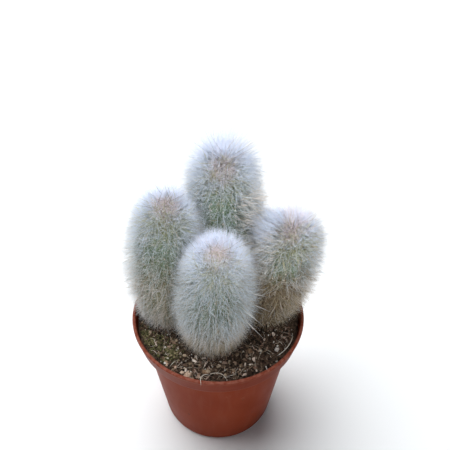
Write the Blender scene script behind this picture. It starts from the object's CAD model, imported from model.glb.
"""The looks of a potted columnar cactus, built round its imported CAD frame.

Units are metres and +Z is up. The origin is the centre of the pot's standing face.
The sizes of the pot, the soil and the stems repeat those of the part's own source, so
each visual piece stands where its CAD node stands. Everything rides on the one body.
"""

import logging
import math
from collections.abc import Sequence
from dataclasses import dataclass, fields
from enum import Enum

import bmesh
import bpy
import numpy as np
from mathutils import Matrix, Vector, noise


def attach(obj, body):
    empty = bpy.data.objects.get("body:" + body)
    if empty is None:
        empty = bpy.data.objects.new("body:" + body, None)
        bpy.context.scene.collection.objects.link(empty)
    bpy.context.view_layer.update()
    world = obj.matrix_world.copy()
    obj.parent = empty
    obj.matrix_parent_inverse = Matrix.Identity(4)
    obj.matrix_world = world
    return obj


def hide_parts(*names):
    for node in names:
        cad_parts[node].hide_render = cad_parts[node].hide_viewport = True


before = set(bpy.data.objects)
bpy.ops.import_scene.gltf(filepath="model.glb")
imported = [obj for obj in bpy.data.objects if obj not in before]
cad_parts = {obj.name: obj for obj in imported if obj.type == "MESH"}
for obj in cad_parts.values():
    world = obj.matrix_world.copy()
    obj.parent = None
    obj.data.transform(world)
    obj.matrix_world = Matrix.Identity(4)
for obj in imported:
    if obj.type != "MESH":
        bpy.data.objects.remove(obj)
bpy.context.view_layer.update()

LOG = logging.getLogger("cactus")

MM = 0.001
BODY = "root"
HAIR_MAP = "OFBake"

Array = np.ndarray
Colour = tuple[float, float, float]
Stop = tuple[float, Colour]

# Sizes that the frame has too
SOIL_EDGE_HEIGHT = 80.0 * MM
SOIL_MOUND = 1.2 * MM
SOIL_LUMPS = 0.9 * MM
LUMP_SIZE = 11.0 * MM
STEM_GROUND = SOIL_EDGE_HEIGHT + SOIL_MOUND
COLLAR_FOOT_RADIUS = 50.0 * MM
RIBS = 14
RIB_DEPTH = 1.5 * MM
ROOT_DEPTH = 12.0 * MM
FOOT_SHARE = 0.70
ROUNDNESS = 2.2
GAP = 0.3 * MM


def smooth_step(low: float, high: float, value: Array) -> Array:
    """Return 0 before low, 1 after high and a soft change between. High may be the lower one."""
    share = np.clip((value - low) / (high - low), 0.0, 1.0)
    return share * share * (3.0 - 2.0 * share)


def unit(vectors: Array) -> Array:
    """Return the vectors at a length of one."""
    return vectors / np.maximum(np.linalg.norm(vectors, axis=-1, keepdims=True), 1e-9)


def toward(azimuth: float, elevation: float) -> Vector:
    """Return the direction at so many degrees about Z from +X, and so many above the floor."""
    around, up = math.radians(azimuth), math.radians(elevation)
    return Vector((math.cos(around) * math.cos(up), math.sin(around) * math.cos(up), math.sin(up)))


def soil_height(x: float, y: float) -> float:
    """Return the height of the soil's lumpy top, as the frame has it, without its crumbs.

    Args:
        x: Place across.
        y: Place along.

    Returns:
        The height over the floor.
    """
    spread = min(1.0, math.hypot(x, y) / COLLAR_FOOT_RADIUS)
    lumps = SOIL_LUMPS * noise.noise(Vector((x, y, 0.0)) / LUMP_SIZE)
    return SOIL_EDGE_HEIGHT + SOIL_MOUND * (1.0 - spread * spread) + lumps


def soil_heights(points: Array) -> Array:
    """Return the soil's height under each point, given as rows of x, y and more."""
    return np.array([soil_height(point[0], point[1]) for point in points])


# Shader wiring

class Wiring:
    """Adds nodes to one shader tree and joins them."""

    def __init__(self, tree: bpy.types.NodeTree) -> None:
        """Take the tree to work in."""
        self.tree = tree

    def add(self, kind: str, inputs: dict[str, object] | None = None,
            **settings: object) -> bpy.types.Node:
        """Add a node.

        Args:
            kind: The node's type name.
            inputs: Values or output sockets for its inputs, by input name.
            **settings: Properties of the node itself.

        Returns:
            The new node.
        """
        node = self.tree.nodes.new(kind)
        for name, value in settings.items():
            setattr(node, name, value)
        for name, value in (inputs or {}).items():
            self.feed(node.inputs[name], value)
        return node

    def feed(self, socket: bpy.types.NodeSocket, value: object) -> None:
        """Join an output socket to an input, or set the input's own value.

        Args:
            socket: The input.
            value: The output socket, or the value.
        """
        if isinstance(value, bpy.types.NodeSocket):
            self.tree.links.new(value, socket)
        else:
            socket.default_value = value

    def math(self, operation: str, *values: object) -> bpy.types.NodeSocket:
        """Calculate with a Math node.

        Args:
            operation: What the node does.
            *values: Numbers or sockets, in the order of the node's inputs.

        Returns:
            The result.
        """
        node = self.add("ShaderNodeMath", operation=operation)
        for socket, value in zip(node.inputs, values):
            self.feed(socket, value)
        return node.outputs[0]

    def range(self, value: object, low: float, high: float, to_low: float = 0.0,
              to_high: float = 1.0) -> bpy.types.NodeSocket:
        """Carry a value smoothly from one range to another.

        Args:
            value: The number or socket.
            low: Start of its own range.
            high: End of its own range.
            to_low: Start of the new range.
            to_high: End of the new range.

        Returns:
            The value in the new range.
        """
        node = self.add("ShaderNodeMapRange", interpolation_type="SMOOTHSTEP",
                        inputs={"Value": value, "From Min": low, "From Max": high,
                                "To Min": to_low, "To Max": to_high})
        return node.outputs["Result"]

    def near(self, place: bpy.types.NodeSocket, middle: Sequence[float],
             size: float) -> bpy.types.NodeSocket:
        """Make a soft spot: 1 around the middle and 0 beyond the size.

        Args:
            place: Coordinates to read.
            middle: Middle of the spot.
            size: Radius of the spot.

        Returns:
            The spot as a mask.
        """
        node = self.add("ShaderNodeVectorMath", operation="DISTANCE")
        self.feed(node.inputs[0], place)
        node.inputs[1].default_value = middle
        return self.range(node.outputs["Value"], size, size * 0.3)

    def mix(self, share: object, first: object, second: object) -> bpy.types.NodeSocket:
        """Mix two colours.

        Args:
            share: How much of the second colour, as a number or socket.
            first: First colour or socket.
            second: Second colour or socket.

        Returns:
            The mixed colour.
        """
        node = self.add("ShaderNodeMix", data_type="RGBA")
        self.feed(node.inputs[0], share)
        for socket, colour in ((node.inputs[6], first), (node.inputs[7], second)):
            self.feed(socket, colour if isinstance(colour, bpy.types.NodeSocket) else (*colour, 1.0))
        return node.outputs[2]

    def ramp(self, value: object, stops: Sequence[Stop]) -> bpy.types.NodeSocket:
        """Look a colour up on a scale.

        Args:
            value: Place on the scale, from 0 to 1.
            stops: The scale's places and their colours.

        Returns:
            The colour.
        """
        node = self.add("ShaderNodeValToRGB", inputs={"Fac": value})
        elements = node.color_ramp.elements
        while len(elements) < len(stops):
            elements.new(1.0)
        for element, (place, colour) in zip(elements, stops):
            element.position = place
            element.color = (*colour, 1.0)
        return node.outputs["Color"]

    def place(self, scale: Sequence[float] = (1.0, 1.0, 1.0)) -> bpy.types.NodeSocket:
        """Return object coordinates, stretched by a Mapping node."""
        source = self.add("ShaderNodeTexCoord").outputs["Object"]
        return self.add("ShaderNodeMapping", inputs={"Vector": source, "Scale": scale}).outputs["Vector"]

    def bump(self, shader: bpy.types.Node, height: bpy.types.NodeSocket, strength: float,
             distance: float) -> None:
        """Roughen a shader's surface.

        Args:
            shader: The shader.
            height: The relief.
            strength: How strongly it shows.
            distance: Depth of the whole relief.
        """
        node = self.add("ShaderNodeBump", inputs={"Strength": strength, "Distance": distance,
                                                  "Height": height})
        self.feed(shader.inputs["Normal"], node.outputs["Normal"])


class SharedGroup(Enum):
    """The effects that several materials share, each a node group built once."""

    MOTTLE = "mottle"
    GRAIN = "grain"

    def tree(self) -> bpy.types.NodeTree:
        """Build the group at the first call.

        Returns:
            Its tree.
        """
        found = bpy.data.node_groups.get(self.value)
        if found:
            return found
        tree = bpy.data.node_groups.new(self.value, "ShaderNodeTree")
        if self is SharedGroup.MOTTLE:
            build_mottle(tree)
        else:
            build_grain(tree)
        return tree

    def use(self, wiring: Wiring, output: str, **inputs: object) -> bpy.types.NodeSocket:
        """Place the group in a material.

        Args:
            wiring: The material's wiring.
            output: Name of the output that is wanted.
            **inputs: Values or sockets for the group's inputs.

        Returns:
            The named output socket.
        """
        node = wiring.add("ShaderNodeGroup", node_tree=self.tree())
        for name, value in inputs.items():
            wiring.feed(node.inputs[name.capitalize()], value)
        return node.outputs[output]


def add_sockets(tree: bpy.types.NodeTree, numbers: dict[str, float], output: str) -> None:
    """Give a group its Vector input, its number inputs and one number output.

    Args:
        tree: The group's tree.
        numbers: Names of the number inputs, with their defaults.
        output: Name of the output.
    """
    tree.interface.new_socket("Vector", in_out="INPUT", socket_type="NodeSocketVector")
    for name, default in numbers.items():
        socket = tree.interface.new_socket(name, in_out="INPUT", socket_type="NodeSocketFloat")
        socket.default_value = default
    tree.interface.new_socket(output, in_out="OUTPUT", socket_type="NodeSocketFloat")


def build_mottle(tree: bpy.types.NodeTree) -> None:
    """Fill the group that puts out soft blotches between 0 and 1.

    Args:
        tree: The group's tree.
    """
    add_sockets(tree, {"Scale": 60.0, "Detail": 4.0, "Low": 0.4, "High": 0.6}, "Mask")
    wiring = Wiring(tree)
    given = wiring.add("NodeGroupInput")
    cloud = wiring.add("ShaderNodeTexNoise", inputs={name: given.outputs[name]
                                                     for name in ("Vector", "Scale", "Detail")})
    mask = wiring.add("ShaderNodeMapRange", interpolation_type="SMOOTHSTEP",
                      inputs={"Value": cloud.outputs["Fac"], "From Min": given.outputs["Low"],
                              "From Max": given.outputs["High"]})
    result = wiring.add("NodeGroupOutput")
    wiring.feed(result.inputs["Mask"], mask.outputs["Result"])


def build_grain(tree: bpy.types.NodeTree) -> None:
    """Fill the group that puts out a height from coarse and fine grain.

    Args:
        tree: The group's tree.
    """
    add_sockets(tree, {"Coarse": 300.0, "Fine": 1500.0, "Share": 0.4}, "Height")
    wiring = Wiring(tree)
    given = wiring.add("NodeGroupInput")
    layers = [wiring.add("ShaderNodeTexNoise", inputs={"Vector": given.outputs["Vector"],
                                                       "Scale": given.outputs[name],
                                                       "Detail": 3.0}).outputs["Fac"]
              for name in ("Coarse", "Fine")]
    fine = wiring.math("MULTIPLY", layers[1], given.outputs["Share"])
    result = wiring.add("NodeGroupOutput")
    wiring.feed(result.inputs["Height"], wiring.math("ADD", layers[0], fine))


def new_material(name: str, roughness: float,
                 specular: float) -> tuple[bpy.types.Material, Wiring, bpy.types.Node]:
    """Start a Principled material.

    Args:
        name: The material's name.
        roughness: Its plain roughness.
        specular: Its specular level.

    Returns:
        The material, its wiring and its shader node.
    """
    material = bpy.data.materials.new(name)
    material.use_nodes = True
    shader = material.node_tree.nodes["Principled BSDF"]
    shader.inputs["Roughness"].default_value = roughness
    shader.inputs["Specular IOR Level"].default_value = specular
    return material, Wiring(material.node_tree), shader


# Finishes

@dataclass(frozen=True)
class TintedFinish:
    """Colour for a swarm of small shapes, read from its own map.

    Across the map runs the way from root to tip. Up the map runs the tint of each copy.

    Attributes:
        name: Name of the material.
        roots: Colours of the roots along the scale of tints.
        tips: Colours of the tips along that scale.
        turn: Places between which the colour turns from the root's to the tip's.
        roughness: Roughness of the surface.
        specular: Strength of its shine.
    """

    name: str
    roots: tuple[Stop, ...]
    tips: tuple[Stop, ...]
    turn: tuple[float, float] = (0.03, 0.58)
    roughness: float = 0.6
    specular: float = 0.25

    def material(self) -> bpy.types.Material:
        """Build the material at the first call.

        Returns:
            The material.
        """
        found = bpy.data.materials.get(self.name)
        if found:
            return found
        material, wiring, shader = new_material(self.name, self.roughness, self.specular)
        place = wiring.add("ShaderNodeUVMap", uv_map=HAIR_MAP).outputs["UV"]
        split = wiring.add("ShaderNodeSeparateXYZ", inputs={"Vector": place})
        along = wiring.range(split.outputs["X"], *self.turn)
        root = wiring.ramp(split.outputs["Y"], self.roots)
        tip = wiring.ramp(split.outputs["Y"], self.tips)
        wiring.feed(shader.inputs["Base Color"], wiring.mix(along, root, tip))
        return material


@dataclass(frozen=True)
class ClayPlasticFinish:
    """Satin terracotta plastic: cloudy colour, faint streaks, a rubbed lip and small marks.

    Attributes:
        name: Name of the material.
        colour: Its usual colour.
        deep: Colour of its darker clouds.
        rubbed: Colour where it is rubbed pale.
        speck: Colour of the dark specks.
        shade: Colour in the shade under the lip.
        lip_height: Height at which the rubbed lip starts.
        collar_foot: Height at which the shade starts.
        specks: Middle and radius of each dark speck.
        scuffs: Middle and radius of each scuff.
    """

    name: str = "terracotta_plastic"
    colour: Colour = (0.225, 0.032, 0.0065)
    deep: Colour = (0.186, 0.0245, 0.005)
    rubbed: Colour = (0.28, 0.095, 0.065)
    speck: Colour = (0.055, 0.016, 0.011)
    shade: Colour = (0.115, 0.013, 0.002)
    lip_height: float = 85.2 * MM
    collar_foot: float = 72.5 * MM
    specks: tuple[tuple[float, float, float, float], ...] = (
        (-18.5 * MM, -35.2 * MM, 28.3 * MM, 1.1 * MM),
        (21.4 * MM, -33.4 * MM, 27.7 * MM, 0.9 * MM),
        (22.5 * MM, -31.0 * MM, 18.0 * MM, 1.0 * MM),
        (21.0 * MM, -32.6 * MM, 22.5 * MM, 0.6 * MM),
        (14.8 * MM, -40.5 * MM, 52.0 * MM, 0.7 * MM),
    )
    scuffs: tuple[tuple[float, float, float, float], ...] = (
        (5.7 * MM, -43.9 * MM, 60.3 * MM, 3.0 * MM),
        (14.2 * MM, -40.8 * MM, 54.5 * MM, 2.4 * MM),
        (-8.0 * MM, -42.0 * MM, 47.0 * MM, 2.0 * MM),
        (24.0 * MM, -30.5 * MM, 24.0 * MM, 2.6 * MM),
    )

    def material(self) -> bpy.types.Material:
        """Build the material.

        Returns:
            The material.
        """
        material, wiring, shader = new_material(self.name, 0.42, 0.05)
        plain = wiring.place()
        cloud = SharedGroup.MOTTLE.use(wiring, "Mask", vector=plain, scale=22.0, detail=5.0,
                                       low=0.3, high=0.7)
        streak = SharedGroup.MOTTLE.use(wiring, "Mask", vector=wiring.place((1.0, 1.0, 0.08)),
                                        scale=260.0, detail=3.0, low=0.45, high=0.75)
        colour = wiring.mix(cloud, self.deep, self.colour)
        colour = wiring.mix(wiring.math("MULTIPLY", streak, 0.16), colour, self.rubbed)
        height = wiring.add("ShaderNodeSeparateXYZ", inputs={"Vector": plain}).outputs["Z"]
        lip = wiring.range(height, self.lip_height - 0.9 * MM, self.lip_height + 0.4 * MM)
        chafe = SharedGroup.MOTTLE.use(wiring, "Mask", vector=plain, scale=420.0, detail=4.0,
                                       low=0.35, high=0.65)
        worn = wiring.math("MULTIPLY", lip, wiring.range(chafe, 0.0, 1.0, 0.35, 0.95))
        under_lip = wiring.range(height, self.collar_foot, self.collar_foot + 2.5 * MM)
        colour = wiring.mix(wiring.math("MULTIPLY", under_lip, 0.5), colour, self.shade)
        colour = wiring.mix(worn, colour, self.rubbed)
        for *middle, size in self.specks:
            mark = wiring.near(plain, middle, size)
            colour = wiring.mix(wiring.math("MULTIPLY", mark, 0.75), colour, self.speck)
        scratches = SharedGroup.MOTTLE.use(wiring, "Mask", vector=wiring.place((1.0, 1.0, 3.0)),
                                           scale=700.0, detail=4.0, low=0.52, high=0.66)
        for *middle, size in self.scuffs:
            mark = wiring.math("MULTIPLY", wiring.near(plain, middle, size), scratches)
            colour = wiring.mix(wiring.math("MULTIPLY", mark, 0.6), colour, self.rubbed)
        wiring.feed(shader.inputs["Base Color"], colour)
        rough = wiring.math("ADD", wiring.range(cloud, 0.0, 1.0, 0.48, 0.38),
                            wiring.math("MULTIPLY", worn, 0.2))
        wiring.feed(shader.inputs["Roughness"], rough)
        relief = SharedGroup.GRAIN.use(wiring, "Height", vector=plain, coarse=160.0, fine=1400.0,
                                       share=0.35)
        wiring.bump(shader, relief, 0.12, 0.4 * MM)
        return material


@dataclass(frozen=True)
class PeatFinish:
    """Damp coarse peat: dark crumbs, brown dust and redder patches.

    Attributes:
        name: Name of the material.
        stops: Colours of the crumbs, from the dark to the pale ones.
        red: Colour of the patches.
    """

    name: str = "peat"
    stops: tuple[Stop, ...] = (
        (0.30, (0.010, 0.007, 0.005)),
        (0.45, (0.032, 0.020, 0.014)),
        (0.58, (0.110, 0.072, 0.048)),
        (0.74, (0.330, 0.255, 0.175)),
    )
    red: Colour = (0.060, 0.026, 0.018)

    def material(self) -> bpy.types.Material:
        """Build the material.

        Returns:
            The material.
        """
        material, wiring, shader = new_material(self.name, 0.95, 0.2)
        plain = wiring.place()
        crumb = wiring.add("ShaderNodeTexNoise", inputs={"Vector": plain, "Scale": 520.0, "Detail": 8.0,
                                                         "Roughness": 0.75}).outputs["Fac"]
        colour = wiring.ramp(crumb, self.stops)
        patch = SharedGroup.MOTTLE.use(wiring, "Mask", vector=plain, scale=55.0, detail=3.0,
                                       low=0.48, high=0.68)
        colour = wiring.mix(wiring.math("MULTIPLY", patch, 0.5), colour, self.red)
        wiring.feed(shader.inputs["Base Color"], colour)
        relief = SharedGroup.GRAIN.use(wiring, "Height", vector=plain, coarse=420.0, fine=1700.0,
                                       share=0.6)
        wiring.bump(shader, relief, 0.9, 0.6 * MM)
        return material


@dataclass(frozen=True)
class SkinFinish:
    """Green, finely grained stem skin that turns corky brown towards the soil.

    Attributes:
        name: Name of the material.
        brown: How brown it gets.
        brown_top: Height at which the brown starts.
        fresh: Its freshest green.
        dull: Its paler green.
        cork: Its brown.
    """

    name: str
    brown: float
    brown_top: float
    fresh: Colour = (0.130, 0.205, 0.085)
    dull: Colour = (0.190, 0.270, 0.150)
    cork: Colour = (0.15, 0.10, 0.055)

    def material(self) -> bpy.types.Material:
        """Build the material.

        Returns:
            The material.
        """
        material, wiring, shader = new_material(self.name, 0.62, 0.35)
        plain = wiring.place()
        cloud = SharedGroup.MOTTLE.use(wiring, "Mask", vector=plain, scale=130.0, detail=4.0,
                                       low=0.35, high=0.65)
        colour = wiring.mix(cloud, self.fresh, self.dull)
        height = wiring.add("ShaderNodeSeparateXYZ", inputs={"Vector": plain}).outputs["Z"]
        uneven = wiring.math("MULTIPLY_ADD", cloud, 9.0 * MM, -4.0 * MM)
        old = wiring.range(wiring.math("ADD", height, uneven), self.brown_top, self.brown_top - 18.0 * MM)
        colour = wiring.mix(wiring.math("MULTIPLY", old, self.brown), colour, self.cork)
        wiring.feed(shader.inputs["Base Color"], colour)
        relief = SharedGroup.GRAIN.use(wiring, "Height", vector=plain, coarse=700.0, fine=2600.0,
                                       share=0.5)
        wiring.bump(shader, relief, 0.35, 0.3 * MM)
        return material


@dataclass(frozen=True)
class BarkFinish:
    """Dry wood of the larger chips, with fine stripes along the grain.

    Attributes:
        name: Name of the material.
        light: Colour of the pale stripes.
        dark: Colour of the dark stripes.
    """

    name: str
    light: Colour
    dark: Colour

    def material(self) -> bpy.types.Material:
        """Build the material.

        Returns:
            The material.
        """
        material, wiring, shader = new_material(self.name, 0.85, 0.25)
        stripe = SharedGroup.MOTTLE.use(wiring, "Mask", vector=wiring.place((1.0, 0.25, 1.0)),
                                        scale=900.0, detail=5.0, low=0.35, high=0.65)
        wiring.feed(shader.inputs["Base Color"], wiring.mix(stripe, self.dark, self.light))
        wiring.bump(shader, stripe, 0.6, 0.3 * MM)
        return material


# Up the scale: dark and light brown, tan, green white, blue white, pinkish brown, golden green
HAIR = TintedFinish(
    "bristles",
    roots=(
        (0.02, (0.040, 0.028, 0.024)),
        (0.20, (0.160, 0.110, 0.070)),
        (0.34, (0.120, 0.080, 0.042)),
        (0.46, (0.330, 0.250, 0.120)),
        (0.56, (0.480, 0.400, 0.290)),
        (0.66, (0.175, 0.275, 0.150)),
        (0.74, (0.175, 0.285, 0.180)),
        (0.84, (0.660, 0.710, 0.680)),
        (0.96, (0.400, 0.255, 0.225)),
        (1.0, (0.150, 0.210, 0.050)),
    ),
    tips=(
        (0.02, (0.120, 0.090, 0.080)),
        (0.20, (0.560, 0.470, 0.330)),
        (0.34, (0.380, 0.270, 0.150)),
        (0.46, (0.690, 0.580, 0.400)),
        (0.56, (0.880, 0.810, 0.760)),
        (0.66, (0.730, 0.800, 0.830)),
        (0.74, (0.770, 0.820, 0.910)),
        (0.84, (0.690, 0.770, 0.930)),
        (0.96, (0.800, 0.650, 0.650)),
        (1.0, (0.500, 0.520, 0.250)),
    ),
)
# Places on that scale
GREEN_WHITE = 0.64
BLUE_WHITE = 0.84
PINKISH_BROWN = 0.95
GOLDEN_GREEN = 1.0

CRUMB = TintedFinish(
    "peat_crumbs",
    roots=((0.0, (0.010, 0.007, 0.005)), (0.5, (0.060, 0.040, 0.026)), (1.0, (0.24, 0.17, 0.11))),
    tips=((0.0, (0.026, 0.017, 0.012)), (0.5, (0.150, 0.098, 0.064)), (1.0, (0.60, 0.46, 0.33))),
    turn=(0.1, 0.9),
    roughness=0.95,
    specular=0.15,
)
GRIT = TintedFinish(
    "pale_grit",
    roots=((0.0, (0.35, 0.27, 0.19)), (0.5, (0.52, 0.47, 0.40)), (1.0, (0.74, 0.72, 0.68))),
    tips=((0.0, (0.48, 0.38, 0.27)), (0.5, (0.68, 0.62, 0.53)), (1.0, (0.88, 0.86, 0.82))),
    turn=(0.1, 0.9),
    roughness=0.9,
    specular=0.2,
)
FLAKE = TintedFinish(
    "bark_flakes",
    roots=((0.0, (0.040, 0.022, 0.014)), (0.5, (0.28, 0.170, 0.120)), (1.0, (0.80, 0.64, 0.54))),
    tips=((0.0, (0.085, 0.048, 0.032)), (0.5, (0.44, 0.280, 0.200)), (1.0, (0.93, 0.80, 0.70))),
    turn=(0.1, 0.9),
    roughness=0.9,
    specular=0.2,
)
MOSS = TintedFinish(
    "moss",
    roots=((0.0, (0.022, 0.022, 0.010)), (0.5, (0.060, 0.058, 0.022)), (1.0, (0.16, 0.13, 0.06))),
    tips=((0.0, (0.065, 0.068, 0.028)), (0.5, (0.160, 0.150, 0.065)), (1.0, (0.42, 0.34, 0.20))),
    turn=(0.1, 0.9),
    roughness=0.9,
    specular=0.2,
)
FIBRE = TintedFinish(
    "peat_fibres",
    roots=((0.0, (0.09, 0.055, 0.03)), (0.5, (0.28, 0.19, 0.12)), (1.0, (0.76, 0.68, 0.58))),
    tips=((0.0, (0.15, 0.10, 0.06)), (0.5, (0.42, 0.31, 0.21)), (1.0, (0.90, 0.85, 0.77))),
    turn=(0.1, 0.9),
    roughness=0.8,
    specular=0.25,
)


# Swarms of small shapes

def set_smooth(mesh: bpy.types.Mesh, smooth: bool) -> None:
    """Shade every face of a mesh smooth or flat."""
    mesh.polygons.foreach_set("use_smooth", np.full(len(mesh.polygons), smooth))


class Build(Enum):
    """How many lengths a strand is made of, each with a ring of three corners."""

    NEEDLE = 1
    HAIR = 2
    FIBRE = 7

    def template(self) -> bmesh.types.BMesh:
        """Build one closed strand.

        Returns:
            A strand of length one, up +Z, with a root ring of radius one.
        """
        shape = bmesh.new()
        if self is Build.NEEDLE:
            bmesh.ops.create_cone(shape, cap_ends=True, segments=3, radius1=1.0, radius2=0.0, depth=1.0)
            bmesh.ops.translate(shape, verts=shape.verts, vec=(0.0, 0.0, 0.5))
            return shape
        rings = self.value - 1
        bmesh.ops.create_cone(shape, cap_ends=True, segments=3, radius1=1.0, radius2=1.0,
                              depth=rings / self.value)
        bmesh.ops.translate(shape, verts=shape.verts, vec=(0.0, 0.0, rings / self.value / 2))
        if rings > 1:
            long = [edge for edge in shape.edges if abs(edge.verts[0].co.z - edge.verts[1].co.z) > 0.1]
            bmesh.ops.subdivide_edges(shape, edges=long, cuts=rings - 1, use_grid_fill=True)
        top = max(shape.faces, key=lambda face: face.calc_center_median().z)
        tip = bmesh.ops.poke(shape, faces=[top])["verts"][0]
        tip.co.z = 1.0
        return shape


class Lump(Enum):
    """Forms of a closed lump about the origin."""

    BALL = "ball"
    BLOCK = "block"

    def template(self) -> bmesh.types.BMesh:
        """Build one lump.

        Returns:
            A small ball or a chamfered block.
        """
        shape = bmesh.new()
        if self is Lump.BALL:
            bmesh.ops.create_icosphere(shape, subdivisions=1, radius=1.0)
            return shape
        bmesh.ops.create_cube(shape, size=1.6)
        bmesh.ops.bevel(shape, geom=shape.edges, offset=0.22, affect="EDGES", segments=1,
                        profile=0.5, material=-1)
        return shape


class Swarm:
    """Many copies of one small closed shape in one mesh, placed with array maths."""

    def __init__(self, template: bmesh.types.BMesh, count: int) -> None:
        """Copy the template until there are count of it, and read where its corners lie.

        Args:
            template: The small shape. It is used up.
            count: How many copies the mesh has.
        """
        self.mesh = bpy.data.meshes.new("swarm")
        template.to_mesh(self.mesh)
        template.free()
        crowd = bmesh.new()
        crowd.from_mesh(self.mesh)
        corners, edges, faces = len(crowd.verts), len(crowd.edges), len(crowd.faces)
        made = 1
        while made < count:
            more = min(made, count - made)
            geometry = (crowd.verts[:][:more * corners] + crowd.edges[:][:more * edges]
                        + crowd.faces[:][:more * faces])
            bmesh.ops.duplicate(crowd, geom=geometry)
            made += more
        crowd.to_mesh(self.mesh)
        crowd.free()
        places = np.empty(3 * corners * count, dtype=np.float32)
        self.mesh.vertices.foreach_get("co", places)
        self.places = places.reshape(count, corners, 3).astype(float)

    def shape(self, points: Array, along: Array, tint: Array) -> bpy.types.Mesh:
        """Move the corners and write the map.

        Args:
            points: New place of each corner, as (copies, corners, 3).
            along: Place of each corner across the map, as (copies, corners).
            tint: Place of each corner up the map, as (copies, corners).

        Returns:
            The finished mesh, smooth shaded.
        """
        self.mesh.vertices.foreach_set("co", points.astype(np.float32).ravel())
        corner_of = np.empty(len(self.mesh.loops), dtype=np.int32)
        self.mesh.loops.foreach_get("vertex_index", corner_of)
        spread = np.stack([np.clip(along, 0.0, 1.0).ravel(), np.clip(tint, 0.002, 0.998).ravel()],
                          axis=1)
        layer = self.mesh.uv_layers.new(name=HAIR_MAP)
        layer.data.foreach_set("uv", spread[corner_of].astype(np.float32).ravel())
        set_smooth(self.mesh, True)
        self.mesh.update()
        return self.mesh


@dataclass
class Strands:
    """Tapering strands, each bent along a smooth arc: one row of numbers for each.

    Attributes:
        root: Where each strand starts.
        aim: Its straight way from there.
        sag: How far its end bends away from that way.
        width: Its thickness at the root.
        tint: Its place on the scale of tints.
    """

    root: Array
    aim: Array
    sag: Array
    width: Array
    tint: Array

    @property
    def tip(self) -> Array:
        """Where each strand ends."""
        return self.root + self.aim + self.sag

    def bend_to(self, tip: Array) -> None:
        """Bend the strands so that they end at these points."""
        self.sag = tip - self.root - self.aim

    def mesh(self, build: Build, fullness: float) -> bpy.types.Mesh:
        """Return one mesh of all strands.

        Args:
            build: How finely each strand is made.
            fullness: How late the strand gets thin: less is later.

        Returns:
            The mesh, with its map.
        """
        swarm = Swarm(build.template(), len(self.root))
        place = swarm.places
        way = place[:, :, 2:3]
        middle = self.root[:, None] + self.aim[:, None] * way + self.sag[:, None] * way * way
        course = unit(self.aim[:, None] + 2.0 * self.sag[:, None] * way)
        helper = np.where(np.abs(unit(self.aim)[:, 2:3]) < 0.8, [[0.0, 0.0, 1.0]], [[1.0, 0.0, 0.0]])
        side = unit(np.cross(course, helper[:, None]))
        other = np.cross(course, side)
        radius = 0.5 * self.width[:, None, None] * np.clip(1.0 - way, 0.0, 1.0) ** fullness
        points = middle + (side * place[:, :, 0:1] + other * place[:, :, 1:2]) * radius
        tint = self.tint[:, None] + 0.004 * place[:, :, 0]
        return swarm.shape(points, 0.01 + 0.98 * way[:, :, 0], tint)


def turns(count: int, stream: np.random.Generator) -> Array:
    """Draw random turns.

    Args:
        count: How many turns.
        stream: Source of random draws.

    Returns:
        One matrix for each turn.
    """
    w, x, y, z = unit(stream.normal(size=(count, 4))).T
    return np.stack([
        np.stack([1 - 2 * (y * y + z * z), 2 * (x * y - z * w), 2 * (x * z + y * w)], -1),
        np.stack([2 * (x * y + z * w), 1 - 2 * (x * x + z * z), 2 * (y * z - x * w)], -1),
        np.stack([2 * (x * z - y * w), 2 * (y * z + x * w), 1 - 2 * (x * x + y * y)], -1),
    ], axis=1)


def lumps_mesh(form: Lump, places: Array, sizes: Array, tint: Array, unevenness: float,
               stream: np.random.Generator) -> bpy.types.Mesh:
    """Return one mesh of uneven lumps.

    Args:
        form: Form of every lump.
        places: Middle of each lump.
        sizes: Half sizes of each lump along its own three sides.
        tint: Tint of each lump.
        unevenness: How far a corner may move, as a share of the lump's size.
        stream: Source of random draws.

    Returns:
        The mesh, with its map.
    """
    swarm = Swarm(form.template(), len(places))
    local = swarm.places + stream.uniform(-unevenness, unevenness, swarm.places.shape)
    turned = np.einsum("nij,nkj->nki", turns(len(places), stream), local * sizes[:, None])
    along = 0.5 + 0.42 * swarm.places[:, :, 2]
    return swarm.shape(places[:, None] + turned, along, tint[:, None] + 0.006 * swarm.places[:, :, 0])


# Pieces

def add_piece(name: str, mesh: bpy.types.Mesh, material: bpy.types.Material,
              node: str) -> None:
    """Show a mesh as a piece of the object.

    Args:
        name: Name of the piece.
        mesh: Its mesh, already in place.
        material: Its material.
        node: The CAD node that it stands for.
    """
    mesh.name = name
    mesh.materials.clear()
    mesh.materials.append(material)
    piece = bpy.data.objects.new(name, mesh)
    bpy.context.scene.collection.objects.link(piece)
    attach(piece, BODY)
    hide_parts(node)
    LOG.info("%s: %d triangles", name, sum(len(face.vertices) - 2 for face in mesh.polygons))


def turned_mesh(name: str, section: Sequence[tuple[float, float]], steps: int) -> bpy.types.Mesh:
    """Turn a half section about the Z axis.

    Args:
        name: Name of the mesh.
        section: Points as (radius, height), from axis to axis.
        steps: Steps of the full turn.

    Returns:
        A closed mesh with its faces outward.
    """
    shape = bmesh.new()
    corners = [shape.verts.new((radius, 0.0, height)) for radius, height in section]
    for first, second in zip(corners, corners[1:]):
        shape.edges.new((first, second))
    bmesh.ops.spin(shape, geom=shape.verts[:] + shape.edges[:], cent=(0.0, 0.0, 0.0),
                   axis=(0.0, 0.0, 1.0), dvec=(0.0, 0.0, 0.0), angle=math.tau, steps=steps,
                   use_merge=True, use_duplicate=False)
    bmesh.ops.remove_doubles(shape, verts=shape.verts, dist=0.01 * MM)
    bmesh.ops.recalc_face_normals(shape, faces=shape.faces)
    mesh = bpy.data.meshes.new(name)
    shape.to_mesh(mesh)
    shape.free()
    return mesh


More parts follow.
